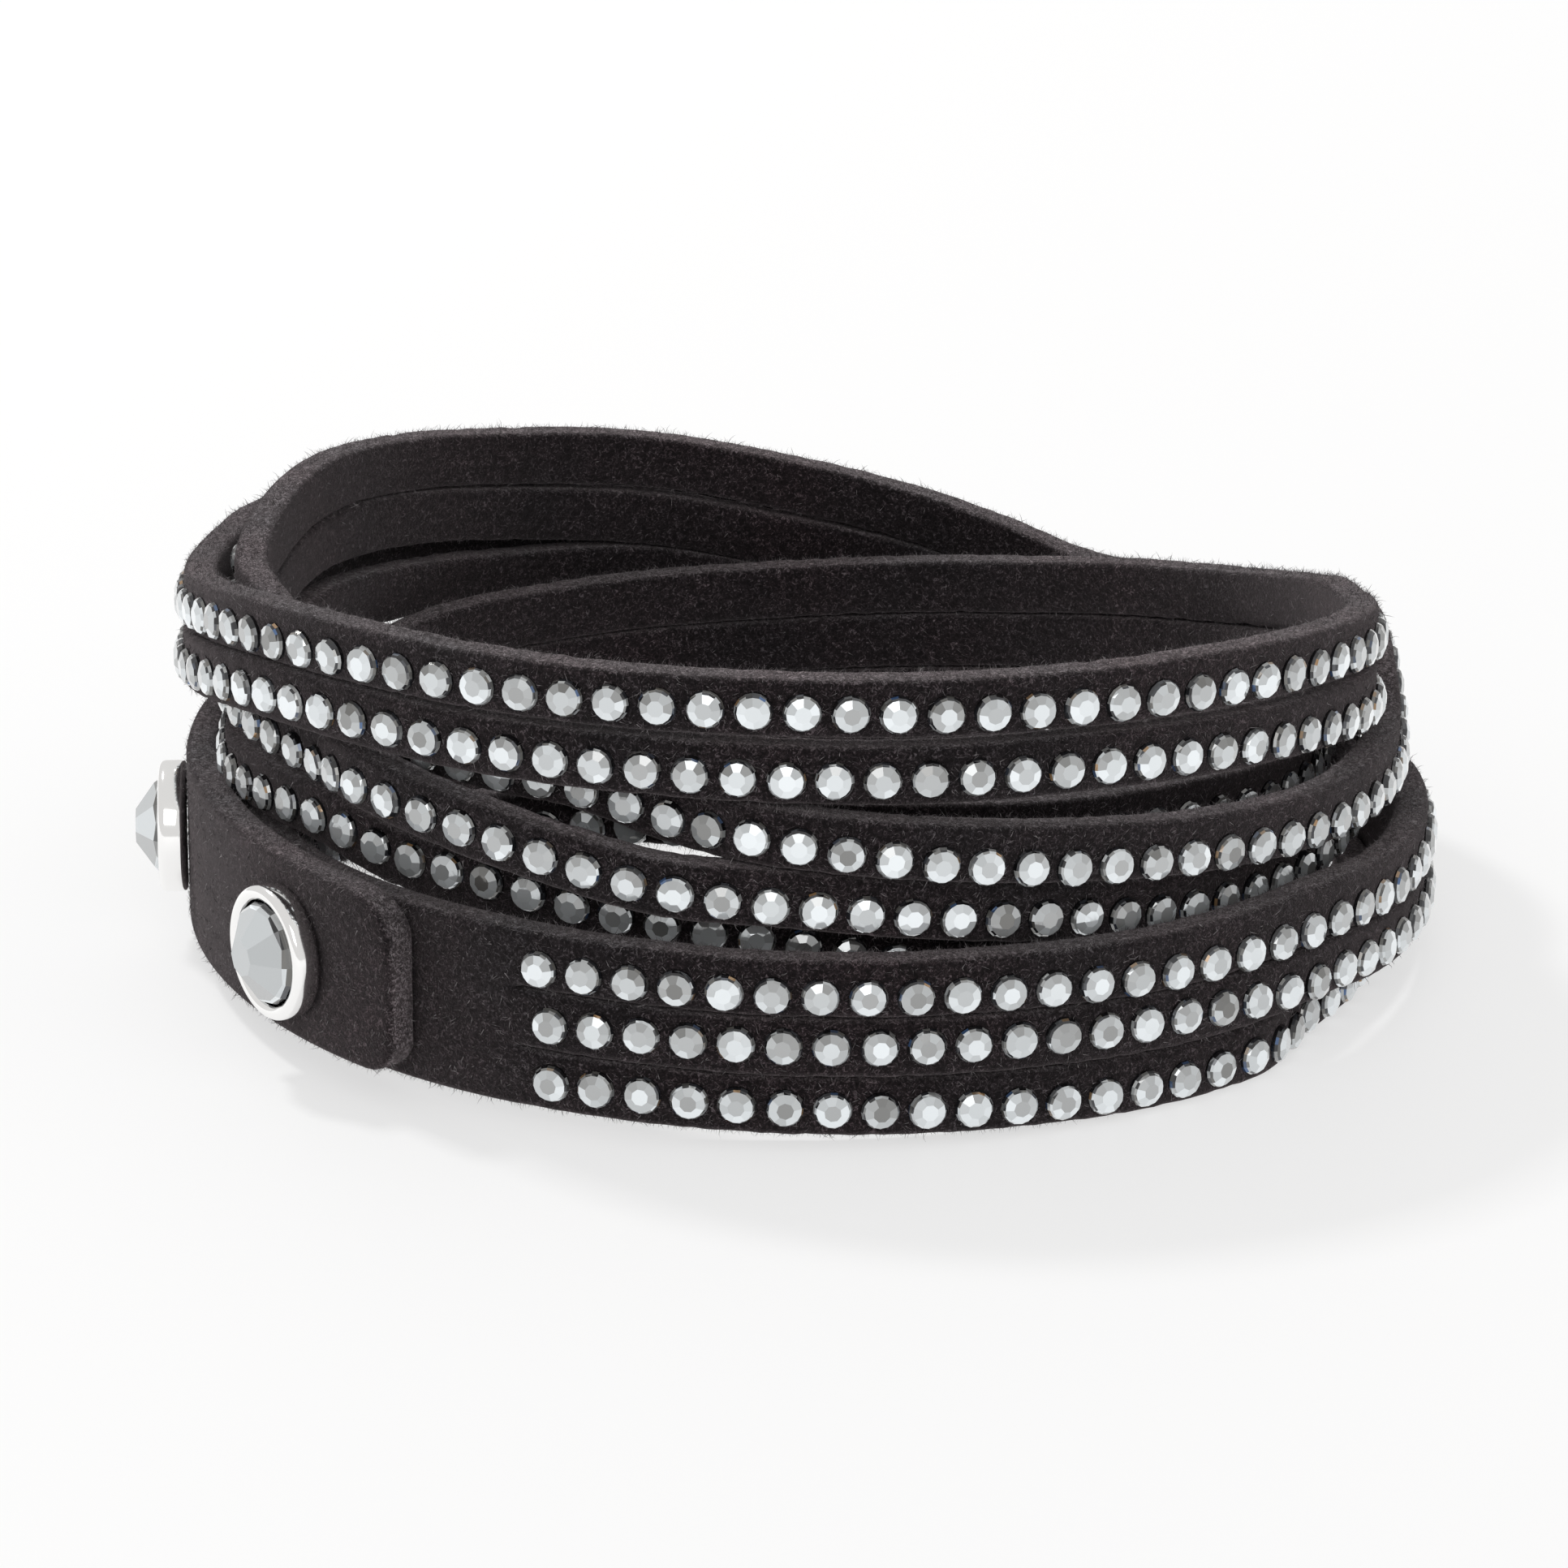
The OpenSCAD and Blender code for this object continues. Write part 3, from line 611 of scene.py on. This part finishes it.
fibre = bpy.data.materials.new("suede_fibre")
fibre.use_nodes = True
tree = fibre.node_tree
shader = tree.nodes["Principled BSDF"]
shader.inputs["Roughness"].default_value = 0.8
shader.inputs["Specular IOR Level"].default_value = 0.2
place = tree.nodes.new("ShaderNodeTexCoord")
strands = add_node(tree, "ShaderNodeTexNoise", Scale=2600.0, Detail=3.0)
tree.links.new(place.outputs["Object"], strands.inputs["Vector"])
strand_tone = tone_ramp(tree, [(0.35, (0.02, 0.017, 0.018, 1)), (0.5, (0.085, 0.075, 0.078, 1)),
                               (0.65, (0.3, 0.28, 0.285, 1))])
tree.links.new(strands.outputs["Fac"], strand_tone.inputs["Fac"])
tree.links.new(strand_tone.outputs["Color"], shader.inputs["Base Color"])

straight = fibre_shape("straight_fibre", 0.029, [(0, -0.03), (0, 0.36)])
curled = fibre_shape("curled_fibre", 0.03, [(0, -0.05), (0.07, 0.27), (0.24, 0.48)])
PER_MM2 = 1e6
for name, shape, where_grown, per_mm2, leans, lengths, lowest, seed in (
        ("face_nap", straight, "on_face", 6.0, (55, 80), (0.7, 1.4), 0.25, 3),
        ("edge_nap", straight, "on_edge", 11.0, (10, 75), (0.5, 1.0), 0.3, 5),
        ("edge_fuzz", straight, "on_edge", 11.0, (0, 60), (0.4, 0.9), 0.3, 6),
        ("stray_fibres", curled, "on_edge", 4.4, (15, 80), (0.5, 1.25), 0.6, 8)):
    carrier = bpy.data.objects.new(name, strap_mesh)
    bpy.context.collection.objects.link(carrier)
    nap_piece = bake_recipe(carrier, recipe, {
        "Fibre": shape, "Material": fibre, "Where": where_grown, "Density": per_mm2 * PER_MM2,
        "Least Lean": math.radians(leans[0]), "Most Lean": math.radians(leans[1]),
        "Shortest": lengths[0], "Longest": lengths[1], "Floor": lowest * MM, "Seed": seed})
    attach(nap_piece, "root")
bpy.data.objects.remove(straight)
bpy.data.objects.remove(curled)


# ---- Small crystals ----
# Round flat-backed crystals 2 mm across with foiled backs, pressed into the suede in one row
# along each strip, 2.4 mm apart. Each has an eight-sided table, eight wide facets round it,
# and two rings of sixteen small ones that reach down to the thin clear rim.
crystal_d = 2.0
crystal_h = 0.62
crystal_sink = 0.08
crystal_pitch = 2.40
crystal_tilt = 4.0
hidden_within = 0.9
spacing_slack = 0.003
rows_finish_a = 875

# Columns: the angle, then how far the upper, middle and lower row lies off its strip's middle
# line in mm, as the crystals that show were pressed in.
ROW_SHIFTS = np.array([
    [-112, -0.35, -0.12,  0.00],
    [-104, -0.30,  0.12,  0.10],
    [ -90, -0.33,  0.17,  0.00],
    [ -66, -0.45,  0.15, -0.30],
    [ -50, -0.60,  0.10, -0.25],
    [ -43, -0.65, -0.20, -0.12],
    [ -36, -0.70, -0.45, -0.40],
    [ -25, -0.45, -0.15, -0.30],
    [ -10, -0.35, -0.20, -0.20],
    [ 200, -0.35, -0.50, -0.20],
    [ 215, -0.35, -0.50,  0.00],
    [ 222, -0.35, -0.25,  0.30],
    [ 238, -0.35,  0.05,  0.40],
    [ 257, -0.15,  0.05,  0.28],
    [ 268, -0.05, -0.30,  0.20],
    [ 284, -0.50, -0.25, -0.20],
    [ 298, -0.65, -0.12, -0.20],
    [ 311, -0.55, -0.45, -0.20],
    [ 330, -0.45, -0.50, -0.20],
    [ 343, -0.70, -0.30, -0.20],
    [ 370, -0.45, -0.25, -0.20],
    [ 560, -0.20, -0.15, -0.50],
    [ 575, -0.35, -0.10, -0.50],
    [ 600, -0.20, -0.05, -0.50],
    [ 630, -0.10, -0.20, -0.50],
    [ 645, -0.25, -0.10, -0.50],
    [ 675, -0.40, -0.25, -0.50],
    [ 700, -0.35, -0.50, -0.50],
    [ 875, -0.35, -0.25, -0.20],
])
# The angles at which each strip's row was begun and taken up again
ROW_STARTS = ((-112.2, 96.7, 458.5), (-111.2, 99.0, 457.4), (-111.2, 98.1, 458.0))

# The darkest and the lightest painted reflection shade that each kind of facet takes by chance
PAINTED_FACET_SHADES = {"back": (0.0, 0.1), "table": (0.52, 1.0), "wide": (0.66, 0.92),
                "small": (0.0, 0.98), "low": (0.0, 0.75), "rim": (0.0, 0.22)}


def facet_stone(name, diameter, height, table_share, disc, small, rim_h, sides=8):
    """A faceted round stone on z = 0. Disc and small hold (share of the width, height) of the
    wide facets' lower ends and of the small ones'. Each face carries the shades of its kind."""
    r, points, faces, kinds = diameter / 2, [], [], []

    def ring(share, heights):
        first, count = len(points), sides * len(heights)
        for i in range(count):
            a = 2 * math.pi * i / count
            points.append((r * share * math.cos(a), r * share * math.sin(a),
                           heights[i % len(heights)]))
        return [first + i for i in range(count)]

    edge_of = math.cos(math.pi / sides)
    slope = (disc[1] - height) / ((disc[0] - table_share) * r * edge_of)
    bulge = disc[1] + slope * r * disc[0] * (1 - edge_of)
    top = ring(table_share, [height])
    around = [ring(disc[0], [disc[1], bulge]), ring(small[0], [small[1]] * 2),
              ring(1.0, [rim_h] * 2), ring(1.0, [0.0] * 2)]
    faces += [tuple(top), tuple(reversed(around[-1]))]
    kinds += ["table", "back"]
    for i in range(sides):
        j, after = 2 * i, (2 * i + 2) % (2 * sides)
        faces.append((top[i], around[0][j], around[0][j + 1], around[0][after],
                      top[(i + 1) % sides]))
        kinds.append("wide")
    for kind, upper, lower in zip(("small", "low", "rim"), around, around[1:]):
        for i in range(2 * sides):
            after = (i + 1) % (2 * sides)
            faces.append((upper[i], lower[i], lower[after], upper[after]))
            kinds.append(kind)
    mesh = bpy.data.meshes.new(name)
    mesh.from_pydata([Vector(p) * MM for p in points], [], faces)
    mesh.update()
    for n, limit in enumerate(("least_shade", "most_shade")):
        attribute = mesh.attributes.new(limit, "FLOAT", "FACE")
        attribute.data.foreach_set("value", [PAINTED_FACET_SHADES[kind][n] for kind in kinds])
    return mesh


def crystal_finish(name, roughness):
    """Foiled glass under a clear hard coat. Each facet's shade is a painted reflection of the
    room, with narrow bands of painted blue and orange fire.
    """
    finish = bpy.data.materials.new(name)
    finish.use_nodes = True
    tree = finish.node_tree
    shader = tree.nodes["Principled BSDF"]
    shader.inputs["Metallic"].default_value = 0.5
    shader.inputs["Roughness"].default_value = roughness
    shader.inputs["Coat Weight"].default_value = 1.0
    shader.inputs["Coat Roughness"].default_value = 0.02
    shader.inputs["Coat IOR"].default_value = 1.55
    facet = add_node(tree, "ShaderNodeAttribute")
    facet.attribute_name = "facet"
    # The ramp turns a facet's shade into its painted reflection: dark to light greys, with two
    # narrow bands of painted fire, blue near 0.31 and orange near 0.44.
    shades = tone_ramp(tree, [
        (0.0, (0.008, 0.008, 0.009, 1)), (0.22, (0.025, 0.027, 0.032, 1)),
        (0.30, (0.06, 0.065, 0.075, 1)), (0.31, (0.07, 0.16, 0.36, 1)),
        (0.32, (0.07, 0.075, 0.085, 1)), (0.43, (0.12, 0.118, 0.11, 1)),
        (0.44, (0.46, 0.27, 0.12, 1)), (0.45, (0.14, 0.135, 0.125, 1)),
        (0.53, (0.20, 0.20, 0.195, 1)), (0.66, (0.42, 0.43, 0.43, 1)),
        (0.84, (0.62, 0.65, 0.665, 1)), (1.0, (0.92, 0.97, 1.0, 1))])
    tree.links.new(facet.outputs["Fac"], shades.inputs["Fac"])
    tree.links.new(shades.outputs["Color"], shader.inputs["Base Color"])
    return finish


crystal_foil = crystal_finish("crystal_foil", 0.06)
crystal_template = bpy.data.objects.new("crystal_template", facet_stone(
    "crystal_template", crystal_d, crystal_h, 0.44, (0.84, 0.46), (0.93, 0.33), 0.18))
bpy.context.collection.objects.link(crystal_template)


def row_line(k, angles):
    """The line that row k's crystals sit on, with its outward and upward directions."""
    middle, outward, across = strip_frame(k, angles)
    shift = np.interp(angles, ROW_SHIFTS[:, 0], ROW_SHIFTS[:, 1 + k])[:, None]
    line = middle + outward * (strap_t / 2 - crystal_sink) + across * shift
    return line, outward, across


# The rows' lines lie on the strips' outer faces, and carry the outward and upward directions
# along. Each line is a whole number of crystals long, and ends clear of the next one.
row_end_gap = 0.85
steps_per_crystal = 10
line_points, line_out, line_up, line_edges = [], [], [], []
for k in range(strips):
    starts = ROW_STARTS[k]
    for begin, finish in zip(starts, starts[1:] + (rows_finish_a,)):
        angles = np.arange(begin, finish, 0.1)
        line, outward, across = row_line(k, angles)
        way = np.concatenate([[0], np.cumsum(np.linalg.norm(np.diff(line, axis=0), axis=1))])
        crystals_there = int(way[-1] / crystal_pitch - row_end_gap)
        stops = np.linspace(0, crystals_there * crystal_pitch,
                            steps_per_crystal * crystals_there + 1)
        angles = np.interp(stops, way, angles)
        line, outward, across = row_line(k, angles)
        first = len(line_points)
        line_points += [Vector(p) * MM for p in line]
        line_out += outward.tolist()
        line_up += across.tolist()
        line_edges += [(first + i, first + i + 1) for i in range(len(angles) - 1)]
row_mesh = bpy.data.meshes.new("crystal_rows")
row_mesh.from_pydata(line_points, line_edges, [])
for name, vectors in (("outward", line_out), ("upward", line_up)):
    attribute = row_mesh.attributes.new(name, "FLOAT_VECTOR", "POINT")
    attribute.data.foreach_set("vector", np.array(vectors, dtype=np.float32).ravel())
crystal_rows = bpy.data.objects.new("crystal_rows", row_mesh)
bpy.context.collection.objects.link(crystal_rows)

recipe, given, result = new_recipe("set_crystals", [
    ("Crystal", "Object"), ("Strap", "Object"), ("Material", "Material"),
    ("Spacing", "Float"), ("Clearance", "Float"), ("Tilt", "Float"),
    ("Upper Facets Darker", "Float"), ("Seed", "Int")])
link = recipe.links.new

# Points along the rows, one crystal apart
as_curve = recipe.nodes.new("GeometryNodeMeshToCurve")
spaced = recipe.nodes.new("GeometryNodeResampleCurve")
spaced.mode = "LENGTH"
dots = recipe.nodes.new("GeometryNodeCurveToPoints")
dots.mode = "EVALUATED"
link(given.outputs["Geometry"], as_curve.inputs["Mesh"])
link(as_curve.outputs["Curve"], spaced.inputs["Curve"])
link(given.outputs["Spacing"], spaced.inputs["Length"])
link(spaced.outputs["Curve"], dots.inputs["Curve"])
outward_of = recipe.nodes.new("GeometryNodeInputNamedAttribute")
outward_of.data_type = "FLOAT_VECTOR"
outward_of.inputs["Name"].default_value = "outward"
upward_of = recipe.nodes.new("GeometryNodeInputNamedAttribute")
upward_of.data_type = "FLOAT_VECTOR"
upward_of.inputs["Name"].default_value = "upward"

# A crystal that another layer of the strap covers from edge to edge is left out
strap_info = recipe.nodes.new("GeometryNodeObjectInfo")
link(given.outputs["Strap"], strap_info.inputs["Object"])
place_of = recipe.nodes.new("GeometryNodeInputPosition")
covered = []
for part in (-0.75, 0.0, 0.75):
    reach_up = recipe.nodes.new("ShaderNodeVectorMath")
    reach_up.operation = "SCALE"
    reach_up.inputs["Scale"].default_value = part * crystal_d / 2 * MM
    link(upward_of.outputs["Attribute"], reach_up.inputs[0])
    lift = recipe.nodes.new("ShaderNodeVectorMath")
    lift.operation = "SCALE"
    lift.inputs["Scale"].default_value = (crystal_sink + 0.02) * MM
    link(outward_of.outputs["Attribute"], lift.inputs[0])
    start = recipe.nodes.new("ShaderNodeVectorMath")
    link(place_of.outputs["Position"], start.inputs[0])
    link(reach_up.outputs["Vector"], start.inputs[1])
    lifted = recipe.nodes.new("ShaderNodeVectorMath")
    link(start.outputs["Vector"], lifted.inputs[0])
    link(lift.outputs["Vector"], lifted.inputs[1])
    ray = recipe.nodes.new("GeometryNodeRaycast")
    link(strap_info.outputs["Geometry"], ray.inputs["Target Geometry"])
    link(lifted.outputs["Vector"], ray.inputs["Source Position"])
    link(outward_of.outputs["Attribute"], ray.inputs["Ray Direction"])
    link(given.outputs["Clearance"], ray.inputs["Ray Length"])
    covered.append(ray.outputs["Is Hit"])
while len(covered) > 1:
    both = recipe.nodes.new("FunctionNodeBooleanMath")
    both.operation = "AND"
    link(covered.pop(), both.inputs[0])
    link(covered.pop(), both.inputs[1])
    covered.append(both.outputs["Boolean"])
seen = recipe.nodes.new("GeometryNodeDeleteGeometry")
seen.domain = "POINT"
link(dots.outputs["Points"], seen.inputs["Geometry"])
link(covered[0], seen.inputs["Selection"])

# Each crystal looks outwards, turned and tilted a little by chance
upright = recipe.nodes.new("FunctionNodeAlignEulerToVector")
upright.axis = "Z"
link(outward_of.outputs["Attribute"], upright.inputs["Vector"])
chance = recipe.nodes.new("FunctionNodeRandomValue")
chance.data_type = "FLOAT_VECTOR"
link(given.outputs["Seed"], chance.inputs["Seed"])
tilt_low = recipe.nodes.new("ShaderNodeCombineXYZ")
tilt_high = recipe.nodes.new("ShaderNodeCombineXYZ")
minus = recipe.nodes.new("ShaderNodeMath")
minus.operation = "MULTIPLY"
minus.inputs[1].default_value = -1
link(given.outputs["Tilt"], minus.inputs[0])
for axis in ("X", "Y"):
    link(minus.outputs[0], tilt_low.inputs[axis])
    link(given.outputs["Tilt"], tilt_high.inputs[axis])
tilt_high.inputs["Z"].default_value = 2 * math.pi
link(tilt_low.outputs["Vector"], chance.inputs[0])
link(tilt_high.outputs["Vector"], chance.inputs[1])
crystal_info = recipe.nodes.new("GeometryNodeObjectInfo")
link(given.outputs["Crystal"], crystal_info.inputs["Object"])
planted = recipe.nodes.new("GeometryNodeInstanceOnPoints")
link(seen.outputs["Geometry"], planted.inputs["Points"])
link(crystal_info.outputs["Geometry"], planted.inputs["Instance"])
link(upright.outputs["Rotation"], planted.inputs["Rotation"])
turned = recipe.nodes.new("GeometryNodeRotateInstances")
link(planted.outputs["Instances"], turned.inputs["Instances"])
link(chance.outputs[0], turned.inputs["Rotation"])

# Each facet gets its own painted reflection shade, and each crystal's painted reflections a
# lighter or darker mood
mood = recipe.nodes.new("FunctionNodeRandomValue")
mood.inputs["Min"].default_value = -0.08
mood.inputs["Max"].default_value = 0.16
link(given.outputs["Seed"], mood.inputs["Seed"])
keep_mood = recipe.nodes.new("GeometryNodeStoreNamedAttribute")
keep_mood.domain = "INSTANCE"
keep_mood.inputs["Name"].default_value = "mood"
link(turned.outputs["Instances"], keep_mood.inputs["Geometry"])
link(mood.outputs[1], keep_mood.inputs["Value"])
real = recipe.nodes.new("GeometryNodeRealizeInstances")
link(keep_mood.outputs["Geometry"], real.inputs["Geometry"])
shade = recipe.nodes.new("FunctionNodeRandomValue")
for limit, socket in (("least_shade", 2), ("most_shade", 3)):
    limit_of = recipe.nodes.new("GeometryNodeInputNamedAttribute")
    limit_of.inputs["Name"].default_value = limit
    link(limit_of.outputs["Attribute"], shade.inputs[socket])
face_number = recipe.nodes.new("GeometryNodeInputIndex")
link(face_number.outputs["Index"], shade.inputs["ID"])
link(given.outputs["Seed"], shade.inputs["Seed"])
mood_of = recipe.nodes.new("GeometryNodeInputNamedAttribute")
mood_of.inputs["Name"].default_value = "mood"
with_mood = recipe.nodes.new("ShaderNodeMath")
link(shade.outputs[1], with_mood.inputs[0])
link(mood_of.outputs["Attribute"], with_mood.inputs[1])
# Painted shade: facets that face up are made darker and facets that face down lighter, standing in
# for the bright table that the lower facets mirror.
facing = recipe.nodes.new("GeometryNodeInputNormal")
facing_parts = recipe.nodes.new("ShaderNodeSeparateXYZ")
link(facing.outputs["Normal"], facing_parts.inputs["Vector"])
painted_upper_shade = recipe.nodes.new("ShaderNodeMath")
painted_upper_shade.operation = "MULTIPLY"
link(facing_parts.outputs["Z"], painted_upper_shade.inputs[0])
link(given.outputs["Upper Facets Darker"], painted_upper_shade.inputs[1])
total = recipe.nodes.new("ShaderNodeMath")
total.operation = "SUBTRACT"
link(with_mood.outputs[0], total.inputs[0])
link(painted_upper_shade.outputs[0], total.inputs[1])
keep_shade = recipe.nodes.new("GeometryNodeStoreNamedAttribute")
keep_shade.domain = "FACE"
keep_shade.inputs["Name"].default_value = "facet"
link(real.outputs["Geometry"], keep_shade.inputs["Geometry"])
link(total.outputs[0], keep_shade.inputs["Value"])
painted = recipe.nodes.new("GeometryNodeSetMaterial")
link(keep_shade.outputs["Geometry"], painted.inputs["Geometry"])
link(given.outputs["Material"], painted.inputs["Material"])
link(painted.outputs["Geometry"], result.inputs["Geometry"])

crystals = bake_recipe(crystal_rows, recipe, {
    "Crystal": crystal_template, "Strap": strap, "Material": crystal_foil,
    "Spacing": (crystal_pitch - spacing_slack) * MM, "Clearance": hidden_within * MM,
    "Tilt": math.radians(crystal_tilt), "Upper Facets Darker": 0.27, "Seed": 7})
bpy.data.objects.remove(crystal_template)
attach(crystals, "root")


# ---- Snaps ----
# Two press snaps hold the overlapped ends. Each has a polished metal cup with a rounded rim on
# the flap, a large round faceted stone in the cup, and a plain post behind it.
front_snap_a = 940
side_snap_a = 903
cap_d = 7.1
cap_h = 1.5
rim_w = 0.8
cap_floor = 0.4
piece_gap = 0.05
stone_d = cap_d - 2 * rim_w - 2 * piece_gap
stone_rise = 1.3
# The big stones' tables carry a fixed light painted reflection shade.
stone_table_painted_shade = 0.78

silver = bpy.data.materials.new("polished_silver")
silver.use_nodes = True
tree = silver.node_tree
shader = tree.nodes["Principled BSDF"]
shader.inputs["Base Color"].default_value = (0.97, 0.965, 0.955, 1)
shader.inputs["Metallic"].default_value = 1.0
shader.inputs["Coat Weight"].default_value = 0.3
place = tree.nodes.new("ShaderNodeTexCoord")
wear = add_node(tree, "ShaderNodeTexNoise", Scale=900.0, Detail=4.0)
tree.links.new(place.outputs["Object"], wear.inputs["Vector"])
wear_range = tree.nodes.new("ShaderNodeMapRange")
wear_range.inputs["To Min"].default_value = 0.05
wear_range.inputs["To Max"].default_value = 0.14
tree.links.new(wear.outputs["Fac"], wear_range.inputs["Value"])
tree.links.new(wear_range.outputs["Result"], shader.inputs["Roughness"])

stone_glass = crystal_finish("stone_glass", 0.1)


def on_flap(mesh, angle, lift):
    """Moves a mesh made round +Z onto the flap's outer face at an angle."""
    middle, outward, across = strip_frame(1, np.array(float(angle)))
    face = (middle + outward * (strap_t / 2 + lift)) * MM
    turn = Vector(outward).to_track_quat("Z", "Y").to_matrix().to_4x4()
    turn.translation = Vector(face)
    mesh.transform(turn)


def turned_shape(name, profile, segments=72):
    """A shape turned round +Z from (radius, height) places, closed at both ends on the axis."""
    mesh = bpy.data.meshes.new(name)
    points, faces = [], []
    for r, z in profile:
        for i in range(segments):
            a = 2 * math.pi * i / segments
            points.append((r * math.cos(a) * MM, r * math.sin(a) * MM, z * MM))
    for n in range(len(profile) - 1):
        for i in range(segments):
            after = (i + 1) % segments
            faces.append((n * segments + i, n * segments + after,
                          (n + 1) * segments + after, (n + 1) * segments + i))
    faces.append(tuple(reversed(range(segments))))
    faces.append(tuple((len(profile) - 1) * segments + i for i in range(segments)))
    mesh.from_pydata(points, [], faces)
    mesh.update()
    return mesh


cup_profile = [(cap_d / 2 - 0.25, 0), (cap_d / 2 - 0.06, 0.08), (cap_d / 2, 0.3)]
for i in range(9):
    turn = math.radians(180 * i / 8)
    cup_profile.append((cap_d / 2 - rim_w / 2 + rim_w / 2 * math.cos(turn),
                        cap_h - rim_w / 2 + rim_w / 2 * math.sin(turn)))
cup_profile += [(cap_d / 2 - rim_w, cap_floor + 0.05), (0.4, cap_floor)]

for side, angle, seed in (("front", front_snap_a, 9), ("side", side_snap_a, 3)):
    cup_mesh = turned_shape("snap_cup_" + side, cup_profile)
    on_flap(cup_mesh, angle, piece_gap)
    cup_mesh.shade_smooth()
    cup_mesh.materials.append(silver)
    cup = bpy.data.objects.new("snap_cup_" + side, cup_mesh)
    bpy.context.collection.objects.link(cup)
    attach(cup, "root")
    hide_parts("snap_cap_" + side)

    seat = cap_floor + 2 * piece_gap
    stone_mesh = facet_stone("big_stone_" + side, stone_d, cap_h + stone_rise - seat,
                             0.36, (0.90, cap_h + 0.30 - seat), (0.96, cap_h + 0.08 - seat),
                             cap_h - 0.2 - seat)
    # Each facet of a big stone gets a painted reflection shade by chance, and its table a fixed
    # light one.
    chance_of_shade = np.random.default_rng(seed)
    shades = stone_mesh.attributes.new("facet", "FLOAT", "FACE")
    for n, facet in enumerate(shades.data):
        least = stone_mesh.attributes["least_shade"].data[n].value
        most = stone_mesh.attributes["most_shade"].data[n].value
        facet.value = chance_of_shade.uniform(least, most)
    shades.data[0].value = stone_table_painted_shade
    on_flap(stone_mesh, angle, seat)
    stone_mesh.materials.append(stone_glass)
    stone = bpy.data.objects.new("big_stone_" + side, stone_mesh)
    bpy.context.collection.objects.link(stone)
    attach(stone, "root")
    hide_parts("stone_" + side)

    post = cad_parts["snap_post_" + side]
    post.data.materials.clear()
    post.data.materials.append(silver)
